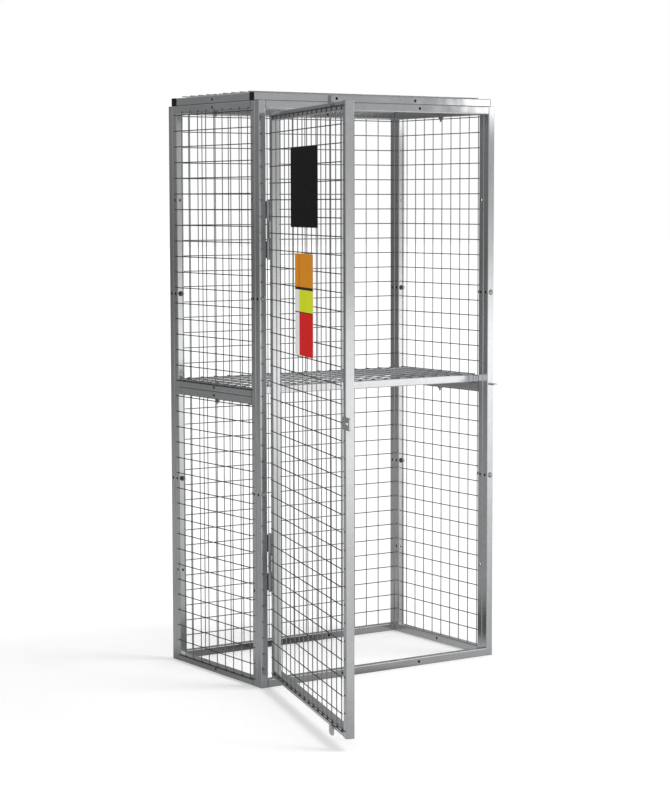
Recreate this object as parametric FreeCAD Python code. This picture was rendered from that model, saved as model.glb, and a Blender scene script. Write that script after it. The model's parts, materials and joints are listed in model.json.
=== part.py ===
import FreeCAD, Part
import os

# Cage for gas cylinders, in millimetres. X runs along the front to the right, Y to the back, Z up.
# The origin is on the floor, in the middle of the footprint.

# Overall sizes
cage_width = 900.0
cage_depth = 550.0
panel_height = 1800.0
shelf_seat_height = 900.0

# Square tube of every frame
tube = 25.0
tube_wall = 2.0
tube_round = 3.0

# Bolts, nuts and their holes
bolt_diameter = 8.0
hole_diameter = 9.0
bolt_head_diameter = 18.6
bolt_head_height = 5.0
nut_flange_diameter = 17.0
nut_flange_thickness = 1.5
nut_across_flats = 13.0
nut_height = 8.0
thread_clearance = 0.05
thread_past_nut = 7.0
corner_bolt_heights = (600.0, 1200.0)
spare_hole_heights = (300.0, 1500.0)
rail_hole_offset = 150.0

# Welded wire mesh
wire_diameter = 3.0
mesh_cell = 50.0
mesh_lap = 6.0
mesh_edge_clear = 3.0
mesh_edge_drop = 5.0
mesh_trim = 3.0
mesh_top_lap = 7.0
side_first_wire = 12.5
rear_first_wire = 50.0
roof_first_wire = 25.0
roof_mesh_inset = 10.0

# Shelf
shelf_end_clearance = 0.5
shelf_cross_inset = 12.5
shelf_mesh_inset = 4.5
shelf_first_wire = 25.0
shelf_first_cross_wire = 37.0

# Plastic end plugs of the roof tubes and welded caps of the stiles
plug_flange = 2.0
plug_depth = 15.0
plug_clearance = 0.1
cap_thickness = 2.0

# Door
door_gap = 12.5
door_floor_gap = 9.5
door_proud = 0.5
door_first_wire_side = 12.5
door_first_wire_end = 15.5
door_open_angle = 108.0

# Hinges
hinge_spread = 1020.0
knuckle_diameter = 11.0
knuckle_length = 60.0
knuckle_gap = 0.4
leaf_thickness = 5.0
leaf_height = 52.0
leaf_reach = 24.0
pin_diameter = 6.0
pin_press_clearance = 0.02
pin_running_clearance = 0.06
pin_overhang = 1.5

# Door stop tabs
tab_width = 35.0
tab_thickness = 5.0
tab_reach = 19.0
tab_lap = 9.0
tab_from_free_edge = 136.0
tab_corner = 10.0

# Hasp plate on the door and staple on the right post
hasp_height = 35.0
hasp_thickness = 4.0
hasp_lap = 17.0
hasp_past_slot = 10.0
hasp_corner = 6.0
hasp_slot_length = 25.0
hasp_slot_height = 7.0
lock_height = 900.0
staple_width = 18.0
staple_thickness = 5.0
staple_reach = 29.0
staple_hole_diameter = 10.0
staple_hole_from_tip = 11.0

# Sign plates on the door
sign_thickness = 1.5
sign_from_door_middle = 12.0
black_sign_width = 288.0
black_sign_height = 228.0
black_sign_below_top = 265.0
colour_sign_width = 195.0
colour_sign_height = 292.0
colour_sign_below_black = 335.0
sign_corner = 3.0

# Places worked out from the sizes above
half_width = cage_width / 2
half_depth = cage_depth / 2
half_tube = tube / 2
post_x = half_width - half_tube
inner_x = half_width - tube
front_y = -half_depth
frame_y = half_depth - half_tube
side_post_y = half_depth - 1.5 * tube
side_inner_y = half_depth - 2 * tube
top_rail_z = panel_height - half_tube
bottom_rail_z = half_tube
mid_rail_z = shelf_seat_height - half_tube
shelf_z = shelf_seat_height + half_tube
shelf_top = shelf_seat_height + tube
roof_z = panel_height + half_tube
roof_top = panel_height + tube
mid_rail_bottom = shelf_seat_height - tube
top_rail_bottom = panel_height - tube
mesh_thickness = 2 * wire_diameter
bore_side = tube - 2 * tube_wall
bore_round = tube_round - tube_wall / 2
head_clear = bolt_head_diameter / 2 + wire_diameter

hinge_x = -inner_x + door_gap / 2
hinge_y = front_y - leaf_thickness / 2
hinge_heights = {
    "upper": (panel_height + hinge_spread) / 2,
    "lower": (panel_height - hinge_spread) / 2,
}
door_left = -inner_x + door_gap
door_right = inner_x - door_gap
door_bottom = tube + door_floor_gap
door_top = panel_height - tube - door_gap
door_face_y = front_y - door_proud
door_y = door_face_y + half_tube
black_sign_z = panel_height - black_sign_below_top
colour_sign_z = black_sign_z - colour_sign_below_black

axis_directions = {
    "x": FreeCAD.Vector(1, 0, 0),
    "y": FreeCAD.Vector(0, 1, 0),
    "z": FreeCAD.Vector(0, 0, 1),
}


def block(low, high):
    """Box between two corners."""
    size = [b - a for a, b in zip(low, high)]
    return Part.makeBox(*size, FreeCAD.Vector(*low))


def edges_along(shape, axis):
    """Straight edges that run along an axis."""
    direction = axis_directions[axis]
    found = []
    for edge in shape.Edges:
        along = (edge.lastVertex().Point - edge.firstVertex().Point).normalize()
        if abs(along.dot(direction)) > 0.999:
            found.append(edge)
    return found


def rounded_block(low, high, axis, radius):
    """Box whose edges along one axis are rounded."""
    shape = block(low, high)
    return shape.makeFillet(radius, edges_along(shape, axis))


def square_bar(axis, low, high, middle, side, radius):
    """Square bar along an axis; middle gives its two other coordinates in x, y, z order."""
    across = [(value - side / 2, value + side / 2) for value in middle]
    spans = {name: None for name in "xyz"}
    spans[axis] = (low, high)
    others = [name for name in "xyz" if name != axis]
    for name, span in zip(others, across):
        spans[name] = span
    start = [spans[name][0] for name in "xyz"]
    end = [spans[name][1] for name in "xyz"]
    return rounded_block(start, end, axis, radius)


def tube_run(axis, low, high, middle):
    """Hollow square tube along an axis with rounded corners inside and out."""
    outer = square_bar(axis, low, high, middle, tube, tube_round)
    inner = square_bar(axis, low, high, middle, bore_side, bore_round)
    return outer.cut(inner)


def rod(axis, start, length, diameter):
    """Round rod that starts at a point and runs along an axis."""
    return Part.makeCylinder(diameter / 2, length, FreeCAD.Vector(*start), axis_directions[axis])


def drilled(shape, holes):
    """Tube with bolt holes right through it; each hole is its axis and the tube's middle there."""
    cutters = []
    for axis, point in holes:
        middle = FreeCAD.Vector(*point)
        start = middle - axis_directions[axis] * tube
        cutters.append(rod(axis, start, 2 * tube, hole_diameter))
    return shape.cut(Part.makeCompound(cutters))


def wire_rows(low, high, first):
    """Wire places at the mesh pitch, from a first distance past the low edge up to the high edge."""
    rows = []
    place = low + first
    while place <= high - mesh_edge_clear:
        rows.append(place)
        place += mesh_cell
    return rows


def mesh_panel(rows_run, rows_cross, inner_level, outer_level):
    """Two layers of wires that touch; rows give axis, ends, places and the place's axis."""
    wires = []
    for rows, (level_axis, level) in ((rows_run, inner_level), (rows_cross, outer_level)):
        axis, low, high, place_axis, places = rows
        for place in places:
            start = {axis: low, place_axis: place, level_axis: level}
            wires.append(rod(axis, [start[name] for name in "xyz"], high - low, wire_diameter))
    return Part.makeCompound(wires)


def level_mesh(x_wire_z, y_wire_z, y_places, x_places, reach_x, reach_y):
    """Level mesh of wires along X and along Y; an X wire that would meet a bolt head stops short of it."""
    wires = []
    for y in y_places:
        reach = reach_x if abs(y) > head_clear else post_x - head_clear
        wires.append(rod("x", (-reach, y, x_wire_z), 2 * reach, wire_diameter))
    for x in x_places:
        wires.append(rod("y", (x, -reach_y, y_wire_z), 2 * reach_y, wire_diameter))
    return Part.makeCompound(wires)


def side_panel(side):
    """Left (side -1) or right (side 1) panel: tubes with upper and lower mesh."""
    x = side * post_x
    name = "left" if side < 0 else "right"
    pieces = {}
    for end, y in (("front", -side_post_y), ("rear", side_post_y)):
        stile = tube_run("z", 0, panel_height, (x, y))
        holes = []
        for height in corner_bolt_heights + spare_hole_heights:
            holes.append(("x", (x, y, height)))
            holes.append(("y", (x, y, height)))
        pieces[f"{name}_{end}_stile"] = drilled(stile, holes)
    for rail, z in (("top", top_rail_z), ("mid", mid_rail_z), ("bottom", bottom_rail_z)):
        shape = tube_run("y", -side_inner_y, side_inner_y, (x, z))
        holes = [("x", (x, 0, z))]
        if rail != "bottom":
            holes.append(("z", (x, 0, z)))
        pieces[f"{name}_{rail}_rail"] = drilled(shape, holes)
    places = [-side * y for y in wire_rows(-side_inner_y, side_inner_y, side_first_wire)]
    inner = ("x", side * (half_width + wire_diameter / 2))
    outer = ("x", side * (half_width + 1.5 * wire_diameter))
    spans = {
        "upper": (shelf_top - mesh_edge_drop, top_rail_bottom, mesh_top_lap),
        "lower": (tube - mesh_edge_drop, mid_rail_bottom, mesh_trim),
    }
    for level, (first_row, edge, lap) in spans.items():
        rows = wire_rows(first_row, edge, 0)
        upright = ("z", first_row - mesh_trim, edge + lap, "y", places)
        level_wires = ("y", -side_inner_y - mesh_lap, side_inner_y + mesh_lap, "z", rows)
        pieces[f"{name}_{level}_mesh"] = mesh_panel(upright, level_wires, inner, outer)
    return pieces


def end_frame(end, y):
    """Front frame or rear panel's tubes: stiles with a top and a bottom rail between them."""
    pieces = {}
    top_name, bottom_name = ("header", "sill") if end == "front" else ("top_rail", "bottom_rail")
    for name, x in (("left", -post_x), ("right", post_x)):
        stile = tube_run("z", 0, panel_height - cap_thickness, (x, y))
        holes = []
        for height in corner_bolt_heights:
            holes.append(("x", (x, y, height)))
            holes.append(("y", (x, y, height)))
        pieces[f"{end}_{name}_stile"] = drilled(stile, holes)
    for name, z in ((top_name, top_rail_z), (bottom_name, bottom_rail_z)):
        rail = tube_run("x", -inner_x, inner_x, (y, z))
        holes = [("y", (offset, y, z)) for offset in (-rail_hole_offset, rail_hole_offset)]
        pieces[f"{end}_{name}"] = drilled(rail, holes)
    return pieces


def rear_mesh():
    """Mesh on the outer face of the rear panel."""
    first_row = tube - mesh_edge_drop
    upright = ("z", first_row - mesh_trim, top_rail_bottom + mesh_top_lap, "x",
               wire_rows(-inner_x, inner_x, rear_first_wire))
    level = ("x", -inner_x - mesh_lap, inner_x + mesh_lap, "z", wire_rows(first_row, top_rail_bottom, 0))
    inner = ("y", half_depth + wire_diameter / 2)
    outer = ("y", half_depth + 1.5 * wire_diameter)
    return mesh_panel(upright, level, inner, outer)


def stile_end_caps():
    """Welded caps on the open tops of the front and rear stiles."""
    caps = []
    for x in (-post_x, post_x):
        for y in (-frame_y, frame_y):
            caps.append(square_bar("z", panel_height - cap_thickness, panel_height, (x, y), tube, tube_round))
    return Part.makeCompound(caps)


def roof():
    """Roof frame on top of the side panels, its mesh and the plugs in its open tube ends."""
    pieces = {}
    plugs = []
    insert = bore_side - 2 * plug_clearance
    for name, y in (("front", -side_post_y), ("rear", side_post_y)):
        rail = tube_run("x", -half_width, half_width, (y, roof_z))
        holes = [("y", (offset, y, roof_z)) for offset in (-rail_hole_offset, rail_hole_offset)]
        pieces[f"roof_{name}_tube"] = drilled(rail, holes)
        for side in (-1, 1):
            tip, face, root = [side * (half_width + reach) for reach in (plug_flange, 0, -plug_depth)]
            flange = square_bar("x", min(tip, face), max(tip, face), (y, roof_z), tube, tube_round)
            core = square_bar("x", min(face, root), max(face, root), (y, roof_z), insert, bore_round)
            plugs.append(flange.fuse(core))
    for name, x in (("left", -post_x), ("right", post_x)):
        rail = tube_run("y", -side_inner_y, side_inner_y, (x, roof_z))
        pieces[f"roof_{name}_tube"] = drilled(rail, [("x", (x, 0, roof_z)), ("z", (x, 0, roof_z))])
    reach_x = half_width - roof_mesh_inset
    reach_y = side_inner_y + tube - roof_mesh_inset
    y_places = wire_rows(-side_inner_y, side_inner_y, roof_first_wire)
    x_places = wire_rows(-inner_x, inner_x, roof_first_wire)
    low = roof_top + wire_diameter / 2
    pieces["roof_mesh"] = level_mesh(low + wire_diameter, low, y_places, x_places, reach_x, reach_y)
    pieces["roof_end_plugs"] = Part.makeCompound(plugs)
    return pieces


def shelf():
    """Shelf frame that stands on the mid rails, between the side stiles, and the mesh that it carries."""
    pieces = {}
    end_y = side_inner_y - shelf_end_clearance
    cross_y = end_y - shelf_cross_inset - half_tube
    for name, x in (("left", -post_x), ("right", post_x)):
        rail = tube_run("y", -end_y, end_y, (x, shelf_z))
        pieces[f"shelf_{name}_tube"] = drilled(rail, [("x", (x, 0, shelf_z)), ("z", (x, 0, shelf_z))])
    # Front and rear tubes stand one wire higher, under the upper wires; the lower wires lie on the side tubes.
    for name, y in (("front", -cross_y), ("rear", cross_y)):
        pieces[f"shelf_{name}_tube"] = tube_run("x", -inner_x, inner_x, (y, shelf_z + wire_diameter))
    cross_inner_y = cross_y - half_tube
    reach_x = half_width - shelf_mesh_inset
    reach_y = cross_y + half_tube - shelf_mesh_inset
    y_places = wire_rows(-cross_inner_y, cross_inner_y, shelf_first_cross_wire)
    x_places = wire_rows(-half_width, half_width, shelf_first_wire)
    low = shelf_top + wire_diameter / 2
    pieces["shelf_mesh"] = level_mesh(low, low + wire_diameter, y_places, x_places, reach_x, reach_y)
    return pieces


def dome_bolt(grip):
    """Bolt with a domed head; its shank runs up +Z from the head's seat at the origin."""
    shank = Part.makeCylinder(bolt_diameter / 2, grip + nut_height + thread_past_nut)
    radius = bolt_head_diameter / 2
    dome_radius = (radius ** 2 + bolt_head_height ** 2) / (2 * bolt_head_height)
    ball = Part.makeSphere(dome_radius, FreeCAD.Vector(0, 0, dome_radius - bolt_head_height))
    slab = Part.makeCylinder(radius, bolt_head_height, FreeCAD.Vector(0, 0, -bolt_head_height))
    return shank.fuse(ball.common(slab)).removeSplitter()


def flange_nut(grip):
    """Hexagon nut with a flange, seated at the far end of a bolt's grip."""
    seat = FreeCAD.Vector(0, 0, grip)
    flange = Part.makeCylinder(nut_flange_diameter / 2, nut_flange_thickness, seat)
    flats = []
    for turn in (0, 60, 120):
        flat = Part.makeBox(nut_across_flats, 2 * nut_flange_diameter, nut_height,
                            FreeCAD.Vector(-nut_across_flats / 2, -nut_flange_diameter, grip))
        flat.rotate(FreeCAD.Vector(), axis_directions["z"], turn)
        flats.append(flat)
    hexagon = flats[0].common(flats[1]).common(flats[2])
    bore = Part.makeCylinder(bolt_diameter / 2 + thread_clearance, 2 * nut_height, seat)
    return flange.fuse(hexagon).cut(bore)


def seated(shape, point, direction):
    """Copy of a fastener with its head's seat at a point and its shank along a direction."""
    turn = FreeCAD.Rotation(axis_directions["z"], FreeCAD.Vector(*direction))
    copy = shape.copy()
    copy.Placement = FreeCAD.Placement(FreeCAD.Vector(*point), turn)
    return copy


def fasteners():
    """Corner bolts through front or rear stile and side stile, roof bolts and shelf bolts."""
    grip = 2 * tube
    bolt = dome_bolt(grip)
    nut = flange_nut(grip)
    corner_seats = []
    for x in (-post_x, post_x):
        for height in corner_bolt_heights:
            corner_seats.append(((x, front_y, height), (0, 1, 0)))
            corner_seats.append(((x, half_depth, height), (0, -1, 0)))
    down = (0, 0, -1)
    roof_seats = [((x, 0, roof_top), down) for x in (-post_x, post_x)]
    shelf_seats = [((x, 0, shelf_top), down) for x in (-post_x, post_x)]
    pieces = {}
    for name, seats in (("corner", corner_seats), ("roof", roof_seats), ("shelf", shelf_seats)):
        pieces[f"{name}_bolts"] = Part.makeCompound([seated(bolt, *seat) for seat in seats])
        pieces[f"{name}_nuts"] = Part.makeCompound([seated(nut, *seat) for seat in seats])
    return pieces


def knuckle(middle_height, clearance, leaf_low, leaf_high):
    """Hinge barrel with a flat leaf, which is given by two corners in plan."""
    base = (hinge_x, hinge_y, middle_height - (knuckle_length - knuckle_gap) / 2)
    length = knuckle_length - knuckle_gap
    barrel = rod("z", base, length, knuckle_diameter)
    leaf = block((*leaf_low, middle_height - leaf_height / 2), (*leaf_high, middle_height + leaf_height / 2))
    bore = rod("z", base, length, pin_diameter + 2 * clearance)
    return barrel.fuse(leaf).cut(bore)


def hinge_frame_pieces():
    """Post side of both hinges: two knuckles and the pin each, with leaves on the post's inner side."""
    pieces = {}
    leaf = ((-inner_x, hinge_y), (-inner_x + leaf_thickness, hinge_y + leaf_reach))
    for name, height in hinge_heights.items():
        pair = []
        for step in (-knuckle_length, knuckle_length):
            pair.append(knuckle(height + step, pin_press_clearance, *leaf))
        pieces[f"{name}_hinge_frame_knuckles"] = Part.makeCompound(pair)
        reach = 1.5 * knuckle_length + pin_overhang
        pieces[f"{name}_hinge_pin"] = rod("z", (hinge_x, hinge_y, height - reach), 2 * reach, pin_diameter)
    return pieces


def padlock_staple():
    """Flat bar on the right post that passes through the hasp's slot and takes a padlock."""
    tip_y = front_y - staple_reach
    low_z = lock_height - staple_thickness / 2
    shape = block((post_x - staple_width / 2, tip_y, low_z),
                  (post_x + staple_width / 2, front_y, low_z + staple_thickness))
    tip_edges = [edge for edge in edges_along(shape, "z") if abs(edge.CenterOfMass.y - tip_y) < staple_reach / 2]
    shape = shape.makeFillet(staple_width / 3, tip_edges)
    hole = rod("z", (post_x, tip_y + staple_hole_from_tip, low_z), staple_thickness, staple_hole_diameter)
    return shape.cut(hole)


def door_frame():
    """Door tubes in the closed place: stiles with rails between them and caps on the stiles."""
    pieces = {}
    caps = []
    for name, x in (("hinge", door_left + half_tube), ("free", door_right - half_tube)):
        low, high = door_bottom + cap_thickness, door_top - cap_thickness
        pieces[f"door_{name}_stile"] = tube_run("z", low, high, (x, door_y))
        for start in (door_bottom, high):
            caps.append(square_bar("z", start, start + cap_thickness, (x, door_y), tube, tube_round))
    for name, z in (("top", door_top - half_tube), ("bottom", door_bottom + half_tube)):
        pieces[f"door_{name}_rail"] = tube_run("x", door_left + tube, door_right - tube, (door_y, z))
    pieces["door_end_caps"] = Part.makeCompound(caps)
    return pieces


def door_mesh():
    """Mesh on the outer face of the door."""
    left, right = door_left + tube, door_right - tube
    rows = wire_rows(door_bottom, door_top, door_first_wire_end)
    upright = ("z", rows[0] - mesh_trim, rows[-1] + mesh_trim, "x", wire_rows(left, right, door_first_wire_side))
    level = ("x", left - mesh_lap, right + mesh_lap, "z", rows)
    inner = ("y", door_face_y - wire_diameter / 2)
    outer = ("y", door_face_y - 1.5 * wire_diameter)
    return mesh_panel(upright, level, inner, outer)


def door_stop_tabs():
    """Flat tabs on the door's top and bottom rails that stop it at the header and the sill."""
    middle_x = door_right - tab_from_free_edge
    tabs = []
    for edge, out in ((door_top, 1), (door_bottom, -1)):
        low_z, high_z = sorted((edge - out * tab_lap, edge + out * tab_reach))
        tabs.append(rounded_block((middle_x - tab_width / 2, door_face_y - tab_thickness, low_z),
                                  (middle_x + tab_width / 2, door_face_y, high_z), "y", tab_corner))
    return Part.makeCompound(tabs)


def hasp_plate():
    """Slotted plate on the door's free stile that reaches over the right post."""
    slot_left = post_x - hasp_slot_length / 2
    slot_right = post_x + hasp_slot_length / 2
    plate = rounded_block((door_right - hasp_lap, door_face_y - hasp_thickness, lock_height - hasp_height / 2),
                          (slot_right + hasp_past_slot, door_face_y, lock_height + hasp_height / 2),
                          "y", hasp_corner)
    slot = rounded_block((slot_left, door_face_y - 2 * hasp_thickness, lock_height - hasp_slot_height / 2),
                         (slot_right, door_face_y + hasp_thickness, lock_height + hasp_slot_height / 2),
                         "y", hasp_slot_height / 3)
    return plate.cut(slot)


def sign_plate(width, height, middle_height):
    """Thin plate that lies on the door's mesh."""
    back_y = door_face_y - mesh_thickness
    middle_x = (door_left + door_right) / 2 + sign_from_door_middle
    return rounded_block((middle_x - width / 2, back_y - sign_thickness, middle_height - height / 2),
                         (middle_x + width / 2, back_y, middle_height + height / 2), "y", sign_corner)


def door():
    """Everything that swings with the door, in the closed place."""
    pieces = door_frame()
    pieces["door_mesh"] = door_mesh()
    pieces["door_stop_tabs"] = door_stop_tabs()
    pieces["hasp_plate"] = hasp_plate()
    leaf = ((hinge_x, door_face_y - leaf_thickness), (hinge_x + leaf_reach, door_face_y))
    for name, height in hinge_heights.items():
        pieces[f"{name}_hinge_door_knuckle"] = knuckle(height, pin_running_clearance, *leaf)
    pieces["black_sign_plate"] = sign_plate(black_sign_width, black_sign_height, black_sign_z)
    pieces["colour_sign_plate"] = sign_plate(colour_sign_width, colour_sign_height, colour_sign_z)
    return pieces


def cage():
    """All pieces by name, with the door swung open to its rest place."""
    pieces = {}
    pieces.update(end_frame("front", -frame_y))
    pieces.update(end_frame("rear", frame_y))
    pieces["rear_mesh"] = rear_mesh()
    pieces["stile_end_caps"] = stile_end_caps()
    pieces.update(side_panel(-1))
    pieces.update(side_panel(1))
    pieces.update(roof())
    pieces.update(shelf())
    pieces.update(fasteners())
    pieces.update(hinge_frame_pieces())
    pieces["padlock_staple"] = padlock_staple()
    hinge_point = FreeCAD.Vector(hinge_x, hinge_y, 0)
    for name, shape in door().items():
        swung = shape.copy()
        swung.rotate(hinge_point, axis_directions["z"], -door_open_angle)
        pieces[name] = swung
    return pieces


os.makedirs("parts", exist_ok=True)
for node, shape in cage().items():
    shape.exportStep(f"parts/{node}.step")
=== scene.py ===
import json
import math

import bmesh
import bpy
import numpy as np
from bpy.props import FloatProperty, FloatVectorProperty, PointerProperty
from mathutils import Matrix, Vector


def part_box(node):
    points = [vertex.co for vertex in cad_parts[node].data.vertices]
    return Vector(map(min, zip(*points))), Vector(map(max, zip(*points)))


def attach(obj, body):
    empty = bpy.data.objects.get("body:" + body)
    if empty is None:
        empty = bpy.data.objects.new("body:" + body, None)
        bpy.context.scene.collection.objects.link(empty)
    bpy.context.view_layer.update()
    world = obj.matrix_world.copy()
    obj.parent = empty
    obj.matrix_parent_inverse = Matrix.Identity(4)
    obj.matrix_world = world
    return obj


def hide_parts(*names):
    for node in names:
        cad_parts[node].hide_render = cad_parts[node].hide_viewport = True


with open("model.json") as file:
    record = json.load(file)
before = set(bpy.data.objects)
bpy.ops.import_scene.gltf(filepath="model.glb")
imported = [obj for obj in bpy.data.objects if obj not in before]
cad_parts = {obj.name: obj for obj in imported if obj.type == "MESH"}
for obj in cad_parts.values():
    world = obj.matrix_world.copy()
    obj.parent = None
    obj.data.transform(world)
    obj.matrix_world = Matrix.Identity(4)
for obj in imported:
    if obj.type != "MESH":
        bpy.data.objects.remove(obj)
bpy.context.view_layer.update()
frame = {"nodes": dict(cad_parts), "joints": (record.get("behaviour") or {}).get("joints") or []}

bl_info = {
    "name": "Cylinder Cage Dressing",
    "version": (1, 0, 0),
    "blender": (4, 5, 0),
    "location": "View3D > Sidebar > Cage",
    "description": "Dresses a cage of square tube and welded mesh with its finishes and sets up its studio",
    "category": "Object",
}

X_AXIS = Vector((1, 0, 0))
Y_AXIS = Vector((0, 1, 0))
Z_AXIS = Vector((0, 0, 1))

# The door stands open at rest, so its own directions follow from how far its hinge can still close.
door_joint = frame["joints"][0]
door_angle = math.radians(door_joint["range_deg"][0])
door_turn = Matrix.Rotation(door_angle, 3, "Z")
door_along = door_turn @ X_AXIS
door_outward = door_turn @ -Y_AXIS

# Wire panels: node, body, the direction across the inner wires, along the inner wires, and outwards.
wire_panels = (
    ("left_upper_mesh", "cage", Y_AXIS, Z_AXIS, -X_AXIS),
    ("left_lower_mesh", "cage", Y_AXIS, Z_AXIS, -X_AXIS),
    ("right_upper_mesh", "cage", Y_AXIS, Z_AXIS, X_AXIS),
    ("right_lower_mesh", "cage", Y_AXIS, Z_AXIS, X_AXIS),
    ("rear_mesh", "cage", X_AXIS, Z_AXIS, Y_AXIS),
    ("roof_mesh", "cage", X_AXIS, Y_AXIS, Z_AXIS),
    ("shelf_mesh", "cage", Y_AXIS, X_AXIS, Z_AXIS),
    ("door_mesh", "door", door_along, Z_AXIS, door_outward),
)


def colour(label, words, value):
    """Colour property with a plain default."""
    return FloatVectorProperty(name=label, description=words, subtype="COLOR", min=0, max=1, default=value)


def distance(label, words, value):
    """Length property in metres."""
    return FloatProperty(name=label, description=words, subtype="DISTANCE", unit="LENGTH", default=value)


def factor(label, words, value):
    """Property from 0 to 1."""
    return FloatProperty(name=label, description=words, subtype="FACTOR", min=0, max=1, default=value)


def amount(label, words, value):
    """Property from 0 upwards, with no unit."""
    return FloatProperty(name=label, description=words, min=0, default=value)


def angle(label, words, value):
    """Angle property, with its default in radians."""
    return FloatProperty(name=label, description=words, subtype="ANGLE", unit="ROTATION", default=value)


class CageFinish(bpy.types.PropertyGroup):
    """Colours and gloss of the finishes"""

    zinc_light: colour("Zinc, light", "Light tone of the zinc on the tubes", (0.66, 0.67, 0.68))
    zinc_dark: colour("Zinc, dark", "Dark tone of the zinc on the tubes", (0.53, 0.54, 0.55))
    zinc_roughness: factor("Zinc roughness", "Roughness of the drawn tubes", 0.17)
    front_ripple: amount("Front ripple", "Waviness of the header and the roof's front tube", 14.0)
    wire_light: colour("Wire, light", "Light tone of the wires of sides, back and door", (0.36, 0.365, 0.37))
    wire_dark: colour("Wire, dark", "Dark tone of the wires of sides, back and door", (0.24, 0.245, 0.25))
    wire_roughness: factor("Wire roughness", "Roughness of all mesh wires", 0.36)
    # Painted shade on the upper and lower sides of the level wires of sides, back and door.
    wire_painted_shade: factor("Wire dulling", "How dull the upper and lower sides of the level wires are", 0.92)
    deck_light: colour("Deck wire, light", "Light tone of the wires of shelf and roof", (0.60, 0.61, 0.62))
    deck_dark: colour("Deck wire, dark", "Dark tone of the wires of shelf and roof", (0.44, 0.45, 0.46))
    bar_light: colour("Flat bar, light", "Light tone of hasp, staple, tabs and caps", (0.66, 0.67, 0.68))
    bar_dark: colour("Flat bar, dark", "Dark tone of hasp, staple, tabs and caps", (0.48, 0.49, 0.50))
    bar_roughness: factor("Flat bar roughness", "Roughness of hasp, staple, tabs and caps", 0.36)
    bolt_light: colour("Bolt, light", "Light tone of the bolts", (0.44, 0.44, 0.44))
    bolt_dark: colour("Bolt, dark", "Dark tone of the bolts", (0.30, 0.30, 0.30))
    bolt_roughness: factor("Bolt roughness", "Roughness of the bolts", 0.12)
    nut_light: colour("Nut, light", "Light tone of the nuts", (0.26, 0.26, 0.265))
    nut_dark: colour("Nut, dark", "Dark tone of the nuts", (0.14, 0.14, 0.145))
    nut_roughness: factor("Nut roughness", "Roughness of the nuts", 0.30)
    hinge_light: colour("Hinge, light", "Light tone of the hinges", (0.68, 0.69, 0.69))
    hinge_dark: colour("Hinge, dark", "Dark tone of the hinges", (0.46, 0.47, 0.47))
    hinge_roughness: factor("Hinge roughness", "Roughness of the hinges", 0.26)
    plug_colour: colour("End plugs", "Moulded plugs in the roof tubes", (0.016, 0.017, 0.018))
    black_plate: colour("Black plate", "Bare black sign plate", (0.0035, 0.0032, 0.0035))
    plate_edge: colour("Plate edge", "Cut edge and back of the colour plate", (0.78, 0.78, 0.76))
    field_orange: colour("Orange field", "Top field of the colour plate", (0.72, 0.26, 0.006))
    field_lime: colour("Lime field", "Middle field of the colour plate", (0.68, 0.76, 0.012))
    field_red: colour("Red field", "Bottom field of the colour plate", (0.70, 0.006, 0.006))
    field_white: colour("White field", "Narrow fields of the colour plate", (0.83, 0.83, 0.81))
    field_line: colour("Dividing line", "Dark lines between the fields", (0.02, 0.018, 0.016))


class CageSizes(bpy.types.PropertyGroup):
    """Sizes of the parts that the dressing adds"""

    weld_width: distance("Weld width", "Width of the spot where two wires are fused", 0.0036)
    weld_height: distance("Weld height", "Height of the spot where two wires are fused", 0.0020)
    end_weld_inset: distance("End weld inset", "From a wire's end to its weld on the tube", 0.0030)
    plate_corner: distance("Plate corner", "Corner radius of a sign plate", 0.003)
    plate_column: distance("Plate column", "Width of the colour plate's left column", 0.045)
    plate_line: distance("Plate line", "Width of the lines beside the column and over the red field", 0.003)
    red_top: distance("Red field top", "Top of the red field over the plate's lower edge", 0.123)
    lime_top: distance("Lime field top", "Top of the lime field over the plate's lower edge", 0.189)
    orange_foot: distance("Orange field foot", "Foot of the orange field over the plate's lower edge", 0.197)


class CageStudio(bpy.types.PropertyGroup):
    """Camera, lights and stage"""

    camera_place: FloatVectorProperty(
        name="Camera place", description="Where the camera stands", subtype="TRANSLATION", unit="LENGTH",
        default=(-3.95281, -5.90429, 1.48790))
    camera_turn: angle("Camera turn", "Turn from straight ahead to the right", 0.59103)
    camera_dip: angle("Camera dip", "Tilt below the horizon", 0.08960)
    camera_roll: angle("Camera roll", "Roll about the line of sight", -0.00181)
    camera_lens: FloatProperty(name="Lens", description="Focal length", unit="CAMERA", default=98.274)
    sky_light: amount("Sky light", "Soft light from all round", 0.80)
    sun_light: amount("Key light", "Strength of the soft key light", 1.1)
    sun_spread: angle("Key spread", "Angle of the key light's disc", math.radians(22))
    sun_height: angle("Key height", "Height of the key light over the horizon", math.radians(54))
    sun_side: angle("Key side", "Turn of the key light from the front to the right", math.radians(48))
    floor_glow: amount("Floor glow", "White that the lens sees in the floor", 0.25)
    floor_colour: colour("Floor", "Colour of the floor", (0.80, 0.80, 0.80))


def corner_coordinates(node, *directions):
    """Places of a CAD node's corners along some directions, one row for each direction."""
    mesh = frame["nodes"][node].data
    flat = np.empty(len(mesh.vertices) * 3)
    mesh.vertices.foreach_get("co", flat)
    points = flat.reshape(-1, 3)
    return [points @ np.array(direction) for direction in directions]


def add_object(name, builder, materials):
    """New mesh object made from a bmesh, which is freed."""
    mesh = bpy.data.meshes.new(name)
    builder.to_mesh(mesh)
    builder.free()
    for material in materials:
        mesh.materials.append(material)
    added = bpy.data.objects.new(name, mesh)
    bpy.context.scene.collection.objects.link(added)
    return added


def add_piece(name, builder, materials, body):
    """New mesh object that rides on a body and takes its finish from a slot."""
    bmesh.ops.recalc_face_normals(builder, faces=builder.faces)
    piece = add_object(name, builder, materials)
    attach(piece, body)
    return piece


def bridge(builder, rings):
    """Faces from each closed ring of corners to the next."""
    for lower, upper in zip(rings, rings[1:]):
        for step in range(len(lower)):
            following = (step + 1) % len(lower)
            builder.faces.new((lower[step], lower[following], upper[following], upper[step]))


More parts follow.
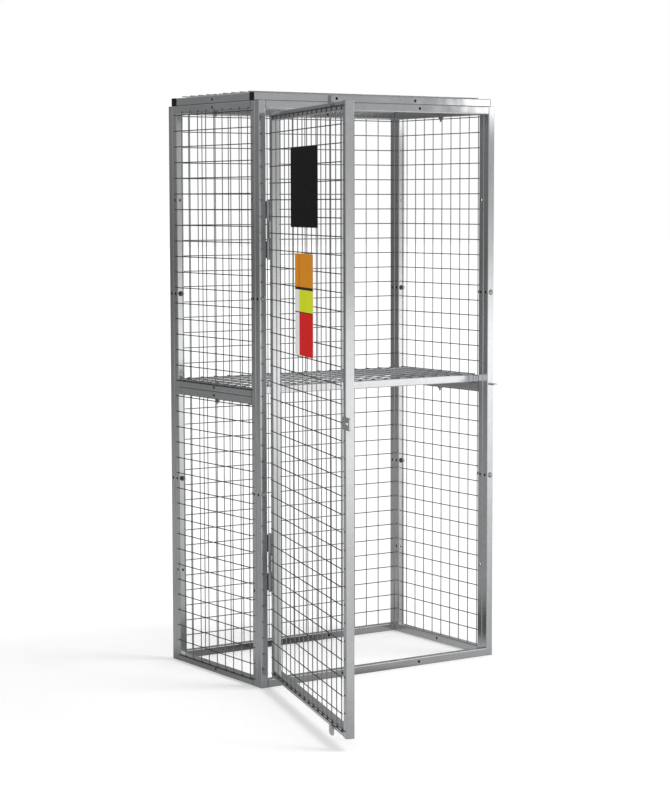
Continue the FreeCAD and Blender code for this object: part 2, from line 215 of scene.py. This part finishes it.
def paint_node(node, material):
    """Put a finish on a CAD node."""
    mesh = frame["nodes"][node].data
    mesh.materials.clear()
    mesh.materials.append(material)


class Graph:
    """Short way to add nodes to a node tree and to link them"""

    def __init__(self, tree):
        self.tree = tree

    def add(self, kind, inputs=None, **settings):
        """New node with settings; inputs are values, or output sockets to link."""
        node = self.tree.nodes.new(kind)
        for name, value in settings.items():
            setattr(node, name, value)
        for key, value in (inputs or {}).items():
            if isinstance(value, bpy.types.NodeSocket):
                self.tree.links.new(value, node.inputs[key])
            else:
                node.inputs[key].default_value = value
        return node

    def place(self):
        """Object coordinates."""
        return self.add("ShaderNodeTexCoord").outputs["Object"]

    def math(self, operation, first, second=0.0, clamp=False):
        """Result of a sum on one or two values or sockets."""
        node = self.add("ShaderNodeMath", {0: first, 1: second}, operation=operation, use_clamp=clamp)
        return node.outputs[0]

    def sway(self, value, width):
        """A 0 to 1 value turned into a swing of plus or minus half the width."""
        return self.math("MULTIPLY", self.math("SUBTRACT", value, 0.5), width)

    def noise(self, place, scale, detail, roughness=0.5):
        """Cloudy value from 0 to 1."""
        inputs = {"Vector": place, "Scale": scale, "Detail": detail, "Roughness": roughness}
        return self.add("ShaderNodeTexNoise", inputs).outputs[0]

    def mix(self, share, first, second):
        """Colour between two others."""
        # A mix node lists its colour sockets after those for numbers and for vectors.
        first_socket, second_socket, result_socket = 6, 7, 2
        inputs = {"Factor": share, first_socket: first, second_socket: second}
        return self.add("ShaderNodeMix", inputs, data_type="RGBA").outputs[result_socket]

    def shade(self, tint, share):
        """Colour times a share."""
        return self.add("ShaderNodeVectorMath", {0: tint, "Scale": share}, operation="SCALE").outputs[0]

    def show(self, surface):
        """Link a shader's output to the tree's surface."""
        output = next(node for node in self.tree.nodes if "Surface" in node.inputs)
        self.tree.links.new(surface, output.inputs["Surface"])


def new_group(name, inputs):
    """Empty shader group with a finish's outputs, its inner graph, and its inputs by name."""
    group = bpy.data.node_groups.new(name, "ShaderNodeTree")
    for label, kind, value in inputs:
        socket = group.interface.new_socket(label, in_out="INPUT", socket_type=kind)
        if value is not None:
            socket.default_value = value
    group.interface.new_socket("Color", in_out="OUTPUT", socket_type="NodeSocketColor")
    group.interface.new_socket("Roughness", in_out="OUTPUT", socket_type="NodeSocketFloat")
    group.interface.new_socket("Height", in_out="OUTPUT", socket_type="NodeSocketFloat")
    graph = Graph(group)
    entry = graph.add("NodeGroupInput")
    return group, graph, entry.outputs


def zinc_finish_group():
    """Zinc on drawn steel: streaks along the run, crystals, clouds, slow waves, and painted shade in bores
    and seams and on the upper and lower sides of level wires.
    """
    name = "zinc_finish"
    if name in bpy.data.node_groups:
        return bpy.data.node_groups[name]
    group, graph, entry = new_group(name, (
        ("Run", "NodeSocketVector", None),
        ("Place", "NodeSocketVector", None),
        ("Light", "NodeSocketColor", (0.7, 0.7, 0.7, 1)),
        ("Dark", "NodeSocketColor", (0.5, 0.5, 0.5, 1)),
        ("Roughness", "NodeSocketFloat", 0.3),
        ("Streaks", "NodeSocketFloat", 0.6),
        ("Crystals", "NodeSocketFloat", 0.25),
        ("Crystal Count", "NodeSocketFloat", 90.0),
        ("Bore Reach", "NodeSocketFloat", 0.03),
        ("Seam Reach", "NodeSocketFloat", 0.006),
        ("Level Painted Shade", "NodeSocketFloat", 0.0),
        ("Ripple", "NodeSocketFloat", 0.0),
    ))
    middle_tone = 0.5
    cloud_in_tone = 0.9
    cloud_in_gloss = 0.16
    streak_in_gloss = 0.10
    streak_in_height = 0.12
    level_power = 0.5
    # Range that turns ambient occlusion into painted shade.
    crevice_shade = {"From Min": 0.10, "From Max": 0.50, "To Min": 0.06, "To Max": 1.0}

    streak = graph.noise(entry["Run"], scale=150.0, detail=5.0, roughness=0.65)
    wave = graph.noise(entry["Run"], scale=40.0, detail=1.0)
    cloud = graph.noise(entry["Place"], scale=7.0, detail=3.0)
    ripple = graph.noise(entry["Place"], scale=14.0, detail=1.0)
    cells = graph.add("ShaderNodeTexVoronoi", {"Vector": entry["Place"], "Scale": entry["Crystal Count"]})
    crystal = graph.add("ShaderNodeSeparateColor", {0: cells.outputs["Color"]}).outputs[0]

    tone = graph.math("ADD", graph.sway(streak, entry["Streaks"]), middle_tone)
    tone = graph.math("ADD", tone, graph.sway(crystal, entry["Crystals"]))
    tone = graph.math("ADD", tone, graph.sway(cloud, cloud_in_tone), clamp=True)
    rough = graph.math("ADD", entry["Roughness"], graph.sway(cloud, cloud_in_gloss))
    rough = graph.math("ADD", rough, graph.sway(streak, streak_in_gloss), clamp=True)
    height = graph.math("ADD", graph.math("MULTIPLY", streak, streak_in_height), wave)
    height = graph.math("ADD", height, graph.math("MULTIPLY", ripple, entry["Ripple"]))

    # Painted shade: faces that look up or down are darkened by the level share, so the upper and lower sides
    # of level wires come out darker.
    normal = graph.add("ShaderNodeNewGeometry").outputs["Normal"]
    slope = graph.math("ABSOLUTE", graph.add("ShaderNodeSeparateXYZ", {0: normal}).outputs["Z"])
    level = graph.math("POWER", slope, level_power)
    shade = graph.math("SUBTRACT", 1.0, graph.math("MULTIPLY", level, entry["Level Painted Shade"]))
    # Painted shade: ambient occlusion darkens the colour in tube bores and holes, in seams between parts and
    # where wires touch a tube.
    for reach, own_walls in (("Bore Reach", True), ("Seam Reach", False)):
        occlusion = graph.add("ShaderNodeAmbientOcclusion", {"Distance": entry[reach]}, samples=4,
                              only_local=own_walls)
        dark = graph.add("ShaderNodeMapRange", {"Value": occlusion.outputs["AO"], **crevice_shade})
        shade = graph.math("MULTIPLY", shade, dark.outputs[0])
    tint = graph.mix(tone, entry["Dark"], entry["Light"])
    graph.add("NodeGroupOutput", {"Color": graph.shade(tint, shade), "Roughness": rough, "Height": height})
    return group


def moulded_grain_group():
    """Fine grain of moulded plastic and of a coated or printed plate, with faint handling marks."""
    name = "moulded_grain"
    if name in bpy.data.node_groups:
        return bpy.data.node_groups[name]
    group, graph, entry = new_group(name, (
        ("Place", "NodeSocketVector", None),
        ("Color", "NodeSocketColor", (0.5, 0.5, 0.5, 1)),
        ("Roughness", "NodeSocketFloat", 0.4),
        ("Mottle", "NodeSocketFloat", 0.1),
    ))
    rub_in_gloss = 0.22
    grain = graph.noise(entry["Place"], scale=900.0, detail=3.0)
    cloud = graph.noise(entry["Place"], scale=14.0, detail=4.0)
    rub = graph.noise(entry["Place"], scale=60.0, detail=6.0, roughness=0.7)
    shade = graph.math("ADD", graph.sway(cloud, entry["Mottle"]), 1.0)
    rough = graph.math("ADD", entry["Roughness"], graph.sway(rub, rub_in_gloss), clamp=True)
    tint = graph.shade(entry["Color"], shade)
    graph.add("NodeGroupOutput", {"Color": tint, "Roughness": rough, "Height": grain})
    return group


def new_material(name):
    """Material with its graph and its surface shader."""
    material = bpy.data.materials.new(name)
    material.use_nodes = True
    return material, Graph(material.node_tree), material.node_tree.nodes["Principled BSDF"]


def link_finish(graph, shader, finish, bump_strength, bump_depth):
    """Link a finish group's outputs to the surface shader."""
    height = finish.outputs["Height"]
    bump = graph.add("ShaderNodeBump", {"Height": height, "Strength": bump_strength, "Distance": bump_depth})
    graph.tree.links.new(finish.outputs["Color"], shader.inputs["Base Color"])
    graph.tree.links.new(finish.outputs["Roughness"], shader.inputs["Roughness"])
    graph.tree.links.new(bump.outputs["Normal"], shader.inputs["Normal"])


def zinc_material(name, tones, roughness, run=None, streaks=0.4, crystals=0.25, crystal_count=90.0,
                  stretch=25.0, bump_depth=0.0004, bore_shade_reach=0.03, painted_shade=0.0, ripple=0.0):
    """Zinc in a light and a dark tone, with streaks along a run (x, y, z or door) or along none, and painted
    shade in bores and seams and, where asked, on the upper and lower sides of level wires.
    """
    if name in bpy.data.materials:
        return bpy.data.materials[name]
    bore_to_seam = 5
    light, dark = tones
    material, graph, shader = new_material(name)
    place = graph.place()
    scales = {"x": (stretch, 1, 1), "door": (stretch, 1, 1), "y": (1, stretch, 1), "z": (1, 1, stretch)}
    mapping = {
        "Vector": place,
        "Rotation": (0, 0, door_angle if run == "door" else 0),
        "Scale": scales.get(run, (1, 1, 1)),
    }
    along = graph.add("ShaderNodeMapping", mapping, vector_type="TEXTURE")
    finish = graph.add("ShaderNodeGroup", node_tree=zinc_finish_group(), inputs={
        "Run": along.outputs[0],
        "Place": place,
        "Light": (*light, 1),
        "Dark": (*dark, 1),
        "Roughness": roughness,
        "Streaks": streaks,
        "Crystals": crystals,
        "Crystal Count": crystal_count,
        # Painted shade: the bore reach sets how far ambient occlusion darkens bores, holes and seams.
        "Bore Reach": bore_shade_reach,
        "Seam Reach": bore_shade_reach / bore_to_seam,
        "Level Painted Shade": painted_shade,
        "Ripple": ripple,
    })
    shader.inputs["Metallic"].default_value = 1.0
    link_finish(graph, shader, finish, bump_strength=0.35, bump_depth=bump_depth)
    return material


def grain_material(name, tint, roughness, mottle):
    """Plastic, coating or print with a fine grain."""
    if name in bpy.data.materials:
        return bpy.data.materials[name]
    material, graph, shader = new_material(name)
    finish = graph.add("ShaderNodeGroup", node_tree=moulded_grain_group(), inputs={
        "Place": graph.place(),
        "Color": (*tint, 1),
        "Roughness": roughness,
        "Mottle": mottle,
    })
    shader.inputs["Specular IOR Level"].default_value = 0.03
    link_finish(graph, shader, finish, bump_strength=0.25, bump_depth=0.00008)
    return material


def tube_run(node):
    """Direction that a tube runs in: x, y, z or door."""
    low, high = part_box(node)
    size = high - low
    if size.z > max(size.x, size.y):
        return "z"
    if node.startswith("door_"):
        return "door"
    return "x" if size.x > size.y else "y"


class CAGE_OT_dress_tubes(bpy.types.Operator):
    """Give every square tube its drawn zinc finish"""

    bl_idname = "cage.dress_tubes"
    bl_label = "Dress the tubes"

    def execute(self, context):
        finish = context.scene.cage_finish
        tones = (finish.zinc_light, finish.zinc_dark)
        for node in frame["nodes"]:
            if not node.endswith(("_stile", "_rail", "_tube", "_header", "_sill")):
                continue
            run = tube_run(node)
            ripple = finish.front_ripple if node in ("front_header", "roof_front_tube") else 0.0
            name = "zinc_tube_front" if ripple else f"zinc_tube_{run}"
            # The zinc finish also paints shade into the tubes' bores and holes and along their seams.
            paint_node(node, zinc_material(name, tones, finish.zinc_roughness, run, ripple=ripple))
        return {"FINISHED"}


def place_groups(values, gap):
    """Index groups of values that lie together, in rising order."""
    order = np.argsort(values)
    breaks = np.nonzero(np.diff(values[order]) > gap)[0] + 1
    return np.split(order, breaks)


def wire_lines(across, along, chosen, gap):
    """Lines of the wires in one layer: the place across them and both ends along them."""
    lines = []
    for group in place_groups(across[chosen], gap):
        members = chosen[group]
        middle = (across[members].min() + across[members].max()) / 2
        lines.append((middle, along[members].min(), along[members].max()))
    return lines


def panel_wires(node, sideways, lengthways, outward):
    """A panel's inner and outer wires, the depth of its inner face, and the depth where the wires touch."""
    across, along, depth = corner_coordinates(node, sideways, lengthways, outward)
    inner_face = depth.min()
    contact = (inner_face + depth.max()) / 2
    wire = contact - inner_face
    clear = wire / 4
    inner_wires = wire_lines(across, along, np.nonzero(depth < contact - clear)[0], wire)
    outer_wires = wire_lines(along, across, np.nonzero(depth > contact + clear)[0], wire)
    if not inner_wires or not outer_wires:
        raise RuntimeError(f"no wires were found in {node}")
    return inner_wires, outer_wires, inner_face, contact


def add_spot(builder, centre, sideways, lengthways, outward, width, height):
    """Flattened bead of melted metal."""
    segments = 8
    levels = (-0.72, 0.0, 0.72)
    rings = []
    for level in levels:
        reach = math.sqrt(1 - level * level) * width / 2
        ring = []
        for step in range(segments):
            turn = 2 * math.pi * step / segments
            offset = sideways * (math.cos(turn) * reach) + lengthways * (math.sin(turn) * reach)
            ring.append(builder.verts.new(centre + offset + outward * (level * height / 2)))
        rings.append(ring)
    bridge(builder, rings)
    builder.faces.new(rings[0][::-1])
    builder.faces.new(rings[-1])


class CAGE_OT_dress_meshes(bpy.types.Operator):
    """Give the wire panels their finish and fuse the wires where they cross and where they meet the tubes"""

    bl_idname = "cage.dress_meshes"
    bl_label = "Dress the wire panels"

    def execute(self, context):
        finish = context.scene.cage_finish
        sizes = context.scene.cage_sizes
        panel_tones = (finish.wire_light, finish.wire_dark)
        deck_tones = (finish.deck_light, finish.deck_dark)
        look = {"roughness": finish.wire_roughness, "streaks": 0.5, "crystals": 0.5, "crystal_count": 260.0,
                "bump_depth": 0.0001, "bore_shade_reach": 0.001}
        for node, body, sideways, lengthways, outward in wire_panels:
            if outward == Z_AXIS:
                material = zinc_material("zinc_level_wire", deck_tones, **look)
            else:
                # Side, back and door wires get painted shade on the upper and lower sides of their level
                # wires.
                material = zinc_material("zinc_wire", panel_tones, painted_shade=finish.wire_painted_shade, **look)
            paint_node(node, material)
            directions = (sideways, lengthways, outward)
            inner_wires, outer_wires, inner_face, contact = panel_wires(node, *directions)
            builder = bmesh.new()
            shape = (*directions, sizes.weld_width, sizes.weld_height)
            for place, start, end in inner_wires:
                for height, left, right in outer_wires:
                    if start < height < end and left < place < right:
                        add_spot(builder, sideways * place + lengthways * height + outward * contact, *shape)
                for tip in (start + sizes.end_weld_inset, end - sizes.end_weld_inset):
                    add_spot(builder, sideways * place + lengthways * tip + outward * inner_face, *shape)
            piece = add_piece(f"{node}_weld_spots", builder, [material], body)
            piece.data.shade_smooth()
        return {"FINISHED"}


class CAGE_OT_dress_fasteners(bpy.types.Operator):
    """Give the bolts their bright zinc plate and the nuts a darker one"""

    bl_idname = "cage.dress_fasteners"
    bl_label = "Dress the fasteners"

    def execute(self, context):
        finish = context.scene.cage_finish
        look = {"streaks": 0.7, "crystals": 0.3, "crystal_count": 300.0, "bump_depth": 0.0001}
        bolt_tones = (finish.bolt_light, finish.bolt_dark)
        nut_tones = (finish.nut_light, finish.nut_dark)
        bolt = zinc_material("zinc_bolt", bolt_tones, finish.bolt_roughness, **look)
        nut = zinc_material("zinc_nut", nut_tones, finish.nut_roughness, **look)
        for node in frame["nodes"]:
            if node.endswith("_bolts"):
                paint_node(node, bolt)
            elif node.endswith("_nuts"):
                paint_node(node, nut)
        return {"FINISHED"}


class CAGE_OT_dress_hinges(bpy.types.Operator):
    """Give knuckles and pins their dull zinc"""

    bl_idname = "cage.dress_hinges"
    bl_label = "Dress the hinges"

    def execute(self, context):
        finish = context.scene.cage_finish
        tones = (finish.hinge_light, finish.hinge_dark)
        material = zinc_material("zinc_hinge", tones, finish.hinge_roughness, "z", streaks=0.7, crystals=0.3,
                                 crystal_count=200.0, stretch=6.0, bump_depth=0.0001)
        for node in frame["nodes"]:
            if "_hinge_" in node and node.endswith(("_knuckle", "_knuckles", "_pin")):
                paint_node(node, material)
        return {"FINISHED"}


class CAGE_OT_dress_flat_bars(bpy.types.Operator):
    """Give hasp, staple, stop tabs and end caps their zinc finish"""

    bl_idname = "cage.dress_flat_bars"
    bl_label = "Dress the flat bars"

    def execute(self, context):
        finish = context.scene.cage_finish
        tones = (finish.bar_light, finish.bar_dark)
        material = zinc_material("zinc_flat_bar", tones, finish.bar_roughness, streaks=0.6, crystals=0.4,
                                 crystal_count=160.0, bump_depth=0.0002)
        for node in ("hasp_plate", "padlock_staple", "door_stop_tabs", "stile_end_caps", "door_end_caps"):
            paint_node(node, material)
        return {"FINISHED"}


class CAGE_OT_dress_plugs(bpy.types.Operator):
    """Give the moulded end plugs of the roof their black plastic"""

    bl_idname = "cage.dress_plugs"
    bl_label = "Dress the end plugs"

    def execute(self, context):
        finish = context.scene.cage_finish
        plastic = grain_material("black_plug", finish.plug_colour, roughness=0.42, mottle=0.5)
        paint_node("roof_end_plugs", plastic)
        return {"FINISHED"}


def sign_panel(name, node, materials, corner, cuts_across=(), cuts_up=(), field_of=None):
    """Plate in a CAD plate's place, with rounded corners and its front divided into fields at some cuts."""
    across, height, depth = corner_coordinates(node, door_along, Z_AXIS, door_outward)
    lines_across = sorted({0.0, across.max() - across.min(), *cuts_across})
    lines_up = sorted({0.0, height.max() - height.min(), *cuts_up})
    last_column = len(lines_across) - 1
    last_row = len(lines_up) - 1
    origin = door_along * across.min() + Z_AXIS * height.min()
    builder = bmesh.new()
    layers = []
    for level in (depth.min(), depth.max()):
        rows = []
        for up in lines_up:
            start = origin + Z_AXIS * up + door_outward * level
            rows.append([builder.verts.new(start + door_along * place) for place in lines_across])
        layers.append(rows)
    back, front = layers
    for rows in layers:
        for row in range(last_row):
            for column in range(last_column):
                face = builder.faces.new((rows[row][column], rows[row][column + 1],
                                          rows[row + 1][column + 1], rows[row + 1][column]))
                if rows is front and field_of:
                    middle_across = (lines_across[column] + lines_across[column + 1]) / 2
                    middle_up = (lines_up[row] + lines_up[row + 1]) / 2
                    face.material_index = field_of(middle_across, middle_up)
    rim = [(row, 0) for row in range(last_row)]
    rim += [(last_row, column) for column in range(last_column)]
    rim += [(row, last_column) for row in range(last_row, 0, -1)]
    rim += [(0, column) for column in range(last_column, 0, -1)]
    for (row, column), (next_row, next_column) in zip(rim, rim[1:] + rim[:1]):
        builder.faces.new((back[row][column], back[next_row][next_column],
                           front[next_row][next_column], front[row][column]))
    corners = [(0, 0), (0, last_column), (last_row, 0), (last_row, last_column)]
    posts = [builder.edges.get((back[row][column], front[row][column])) for row, column in corners]
    bmesh.ops.bevel(builder, geom=posts, offset=corner, segments=5, profile=0.5, affect="EDGES")
    panel = add_piece(name, builder, materials, "door")
    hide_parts(node)


class CAGE_OT_hang_signs(bpy.types.Operator):
    """Hang the bare black plate and the plain colour plate on the door"""

    bl_idname = "cage.hang_signs"
    bl_label = "Hang the sign plates"

    def execute(self, context):
        finish = context.scene.cage_finish
        sizes = context.scene.cage_sizes
        corner = sizes.plate_corner
        black = grain_material("black_plate", finish.black_plate, roughness=0.34, mottle=0.4)
        sign_panel("black_sign_panel", "black_sign_plate", [black], corner)

        tints = ("plate_edge", "field_orange", "field_lime", "field_red", "field_white", "field_line")
        prints = []
        for tint in tints:
            prints.append(grain_material(f"print_{tint}", getattr(finish, tint), roughness=0.30, mottle=0.12))
        cuts_across = (sizes.plate_column, sizes.plate_column + sizes.plate_line)
        cuts_up = (sizes.red_top, sizes.red_top + sizes.plate_line, sizes.lime_top, sizes.orange_foot)
        column_left, column_right = cuts_across
        red_top, lime_foot, lime_top, orange_foot = cuts_up

        def field(across, up):
            """Number of the print at a place on the plate."""
            if red_top < up < lime_foot or lime_top < up < orange_foot:
                return tints.index("field_line")
            if column_left < across < column_right:
                return tints.index("field_line" if up > orange_foot else "field_white")
            if up > orange_foot:
                return tints.index("field_orange")
            if across < column_left:
                return tints.index("field_white")
            return tints.index("field_red" if up < red_top else "field_lime")

        sign_panel("colour_sign_panel", "colour_sign_plate", prints, corner,
                   cuts_across, cuts_up, field)
        return {"FINISHED"}


def seen_directly(graph):
    """1 for rays from the lens, off metal or through glass, and 0 for the light that shades the object."""
    path = graph.add("ShaderNodeLightPath")
    seen = graph.math("MAXIMUM", path.outputs["Is Camera Ray"], path.outputs["Is Glossy Ray"])
    return graph.math("MAXIMUM", seen, path.outputs["Is Transmission Ray"])


def set_world(studio):
    """Soft light from all round in front of a white background."""
    world = bpy.data.worlds.new("studio_sky")
    bpy.context.scene.world = world
    world.use_nodes = True
    graph = Graph(world.node_tree)
    light = world.node_tree.nodes["Background"]
    light.inputs["Color"].default_value = (1, 1, 1, 1)
    light.inputs["Strength"].default_value = studio.sky_light
    white = graph.add("ShaderNodeBackground", {"Color": (1, 1, 1, 1), "Strength": 1.0})
    shaders = {0: seen_directly(graph), 1: light.outputs[0], 2: white.outputs[0]}
    graph.show(graph.add("ShaderNodeMixShader", shaders).outputs[0])


def lay_floor(studio):
    """Wide pale floor that keeps the shadow, a hair below the cage's feet."""
    half = 60.0
    drop = 0.0004
    material, graph, shader = new_material("pale_floor")
    shader.inputs["Base Color"].default_value = (*studio.floor_colour, 1)
    shader.inputs["Roughness"].default_value = 0.9
    shader.inputs["Specular IOR Level"].default_value = 0.0
    strength = graph.math("MULTIPLY", seen_directly(graph), studio.floor_glow)
    glow = graph.add("ShaderNodeEmission", {"Color": (1, 1, 1, 1), "Strength": strength})
    graph.show(graph.add("ShaderNodeAddShader", {0: shader.outputs[0], 1: glow.outputs[0]}).outputs[0])
    builder = bmesh.new()
    corners = [(-half, -half), (half, -half), (half, half), (-half, half)]
    builder.faces.new([builder.verts.new((x, y, -drop)) for x, y in corners])
    floor = add_object("studio_floor", builder, [material])


# Light on the tent's wall: heights in metres, then strengths at those heights for some directions, in degrees
# from the back over the right. The right of the front is bright, and the left and the back are dim.
tent_radius = 1.6
tent_heights = (0.0, 0.1, 0.3, 0.45, 0.6, 0.75, 0.85, 0.95, 1.1, 1.25, 1.4, 1.6, 1.78, 1.83, 2.2)
front_light = (0.60, 0.70, 0.78, 0.90, 1.05, 1.25, 1.25, 1.25, 1.15, 0.85, 0.72, 0.60, 0.60, 0.62, 0.60)
left_light = (0.26, 0.30, 0.34, 0.30, 0.34, 0.42, 0.62, 0.54, 0.40, 0.34, 0.32, 0.44, 0.42, 0.48, 0.50)
tent_columns = (
    (-175, front_light),
    (-150, front_light),
    (-128, left_light),
    (-104, left_light),
    (-75, (0.38, 0.43, 0.42, 0.40, 0.36, 0.30, 0.28, 0.26, 0.24, 0.22, 0.24, 0.26, 0.28, 0.28, 0.30)),
    (-45, (0.38, 0.43, 0.42, 0.40, 0.36, 0.29, 0.27, 0.25, 0.22, 0.18, 0.20, 0.24, 0.28, 0.28, 0.30)),
    (-15, (0.30, 0.40, 0.38, 0.35, 0.28, 0.22, 0.20, 0.19, 0.17, 0.16, 0.17, 0.18, 0.20, 0.22, 0.26)),
    (25, (0.20, 0.20, 0.20, 0.22, 0.26, 0.30, 0.30, 0.30, 0.28, 0.26, 0.26, 0.26, 0.24, 0.24, 0.30)),
    (60, (0.30, 0.35, 0.40, 0.45, 0.50, 0.55, 0.55, 0.55, 0.55, 0.50, 0.50, 0.50, 0.50, 0.55, 0.60)),
    (100, (0.55, 0.65, 0.80, 0.95, 1.05, 1.15, 1.25, 1.25, 1.15, 0.95, 0.85, 0.75, 0.75, 1.10, 1.10)),
    (128, (0.70, 0.78, 0.92, 1.10, 1.20, 1.35, 1.50, 1.60, 1.40, 1.10, 0.90, 0.75, 0.72, 2.40, 2.40)),
    (138, (0.75, 0.80, 0.92, 1.08, 1.22, 1.38, 1.52, 1.65, 1.40, 0.95, 0.68, 0.50, 0.54, 2.40, 2.40)),
    (139.5, (0.70, 0.78, 0.90, 1.08, 1.22, 1.38, 1.45, 1.55, 1.30, 0.90, 0.66, 0.50, 0.52, 0.55, 0.55)),
    (157, (0.55, 0.65, 0.85, 1.00, 1.10, 1.25, 1.35, 1.35, 1.00, 0.75, 0.60, 0.52, 0.52, 0.55, 0.55)),
    (185, front_light),
)
tent_top_light = 0.45
# Rings of the tent's base: radius, strength on its dim side, strength on its bright side.
tent_base_rings = (
    (1.6, 0.42, 0.66),
    (0.75, 0.42, 0.62),
    (0.52, 0.20, 0.52),
    (0.34, 0.18, 0.50),
    (0.20, 0.05, 0.12),
)
tent_bright_side = math.radians(125)


def wall_light(degrees, level):
    """Strengths of the tent's wall in some directions, at one of its heights."""
    directions = [direction for direction, column in tent_columns]
    return np.interp(degrees, directions, [column[level] for direction, column in tent_columns])


def raise_tent():
    """Round light tent that only polished metal sees: a painted wall, a base and a top."""
    segments = 180
    base_drop = 0.0002
    layer = "light"
    first_direction = tent_columns[0][0]
    degrees = first_direction + 360 * np.arange(segments) / segments
    turns = np.radians(degrees)
    builder = bmesh.new()
    light = builder.verts.layers.float_color.new(layer)

    def ring(radius, height, strengths):
        """Corners round the tent, each with its strength of light."""
        corners = []
        for turn, strength in zip(turns, strengths):
            corner = builder.verts.new((math.sin(turn) * radius, math.cos(turn) * radius, height))
            corner[light] = (strength, strength, strength, 1)
            corners.append(corner)
        return corners

    wall = []
    for level, height in enumerate(tent_heights):
        wall.append(ring(tent_radius, height, wall_light(degrees, level)))
    share = (1 + np.cos(turns - tent_bright_side)) / 2
    base = []
    for radius, dim, bright in tent_base_rings:
        base.append(ring(radius, -base_drop, dim + (bright - dim) * share))
    top = ring(tent_radius, tent_heights[-1], np.full(segments, tent_top_light))
    bridge(builder, wall)
    bridge(builder, base)
    builder.faces.new(base[-1])
    builder.faces.new(top)

    material, graph, _ = new_material("tent_cloth")
    painted = graph.add("ShaderNodeVertexColor", layer_name=layer).outputs["Color"]
    graph.show(graph.add("ShaderNodeEmission", {"Color": painted, "Strength": 1.0}).outputs[0])
    tent = add_object("studio_tent", builder, [material])
    tent.visible_camera = False
    tent.visible_diffuse = False
    tent.visible_shadow = False
    tent.visible_transmission = False


def hang_key_light(studio):
    """Soft key light from the right of the front."""
    lamp = bpy.data.lights.new("key_light", "SUN")
    lamp.energy = studio.sun_light
    lamp.angle = studio.sun_spread
    key = bpy.data.objects.new("key_light", lamp)
    level = math.cos(studio.sun_height)
    towards = Vector((math.sin(studio.sun_side) * level, -math.cos(studio.sun_side) * level,
                      math.sin(studio.sun_height)))
    key.rotation_mode = "QUATERNION"
    key.rotation_quaternion = towards.to_track_quat("Z", "Y")
    key.visible_glossy = False
    bpy.context.scene.collection.objects.link(key)


def place_camera(studio):
    """Camera at the photograph's place, with its lens on a full-frame sensor."""
    lens = bpy.data.cameras.new("photo_camera")
    lens.lens = studio.camera_lens
    lens.sensor_width = 36.0
    lens.clip_end = 200.0
    camera = bpy.data.objects.new("photo_camera", lens)
    bpy.context.scene.collection.objects.link(camera)
    turn = (Matrix.Rotation(-studio.camera_turn, 3, "Z")
            @ Matrix.Rotation(math.pi / 2 - studio.camera_dip, 3, "X")
            @ Matrix.Rotation(studio.camera_roll, 3, "Z"))
    camera.matrix_world = Matrix.Translation(studio.camera_place) @ turn.to_4x4()
    bpy.context.scene.camera = camera


class CAGE_OT_set_stage(bpy.types.Operator):
    """Set up background, floor, light tent, key light and camera"""

    bl_idname = "cage.set_stage"
    bl_label = "Set the stage"

    def execute(self, context):
        studio = context.scene.cage_studio
        context.scene.view_settings.view_transform = "Standard"
        set_world(studio)
        lay_floor(studio)
        raise_tent()
        hang_key_light(studio)
        place_camera(studio)
        return {"FINISHED"}


OPERATORS = (
    CAGE_OT_dress_tubes,
    CAGE_OT_dress_meshes,
    CAGE_OT_dress_fasteners,
    CAGE_OT_dress_hinges,
    CAGE_OT_dress_flat_bars,
    CAGE_OT_dress_plugs,
    CAGE_OT_hang_signs,
    CAGE_OT_set_stage,
)


class CAGE_PT_dressing(bpy.types.Panel):
    """Buttons and values of the cage dressing"""

    bl_idname = "CAGE_PT_dressing"
    bl_label = "Cage dressing"
    bl_space_type = "VIEW_3D"
    bl_region_type = "UI"
    bl_category = "Cage"

    def draw(self, context):
        for operator in OPERATORS:
            self.layout.operator(operator.bl_idname)
        for group in (context.scene.cage_finish, context.scene.cage_sizes, context.scene.cage_studio):
            box = self.layout.box()
            for name in group.__annotations__:
                box.prop(group, name)


GROUPS = {"cage_finish": CageFinish, "cage_sizes": CageSizes, "cage_studio": CageStudio}


def register():
    for name, group in GROUPS.items():
        bpy.utils.register_class(group)
        setattr(bpy.types.Scene, name, PointerProperty(type=group))
    for operator in OPERATORS:
        bpy.utils.register_class(operator)
    bpy.utils.register_class(CAGE_PT_dressing)


def unregister():
    bpy.utils.unregister_class(CAGE_PT_dressing)
    for operator in reversed(OPERATORS):
        bpy.utils.unregister_class(operator)
    for name, group in GROUPS.items():
        delattr(bpy.types.Scene, name)
        bpy.utils.unregister_class(group)


def main():
    register()
    bpy.ops.cage.dress_tubes()
    bpy.ops.cage.dress_meshes()
    bpy.ops.cage.dress_fasteners()
    bpy.ops.cage.dress_hinges()
    bpy.ops.cage.dress_flat_bars()
    bpy.ops.cage.dress_plugs()
    bpy.ops.cage.hang_signs()
    bpy.ops.cage.set_stage()


if __name__ == "__main__":
    main()
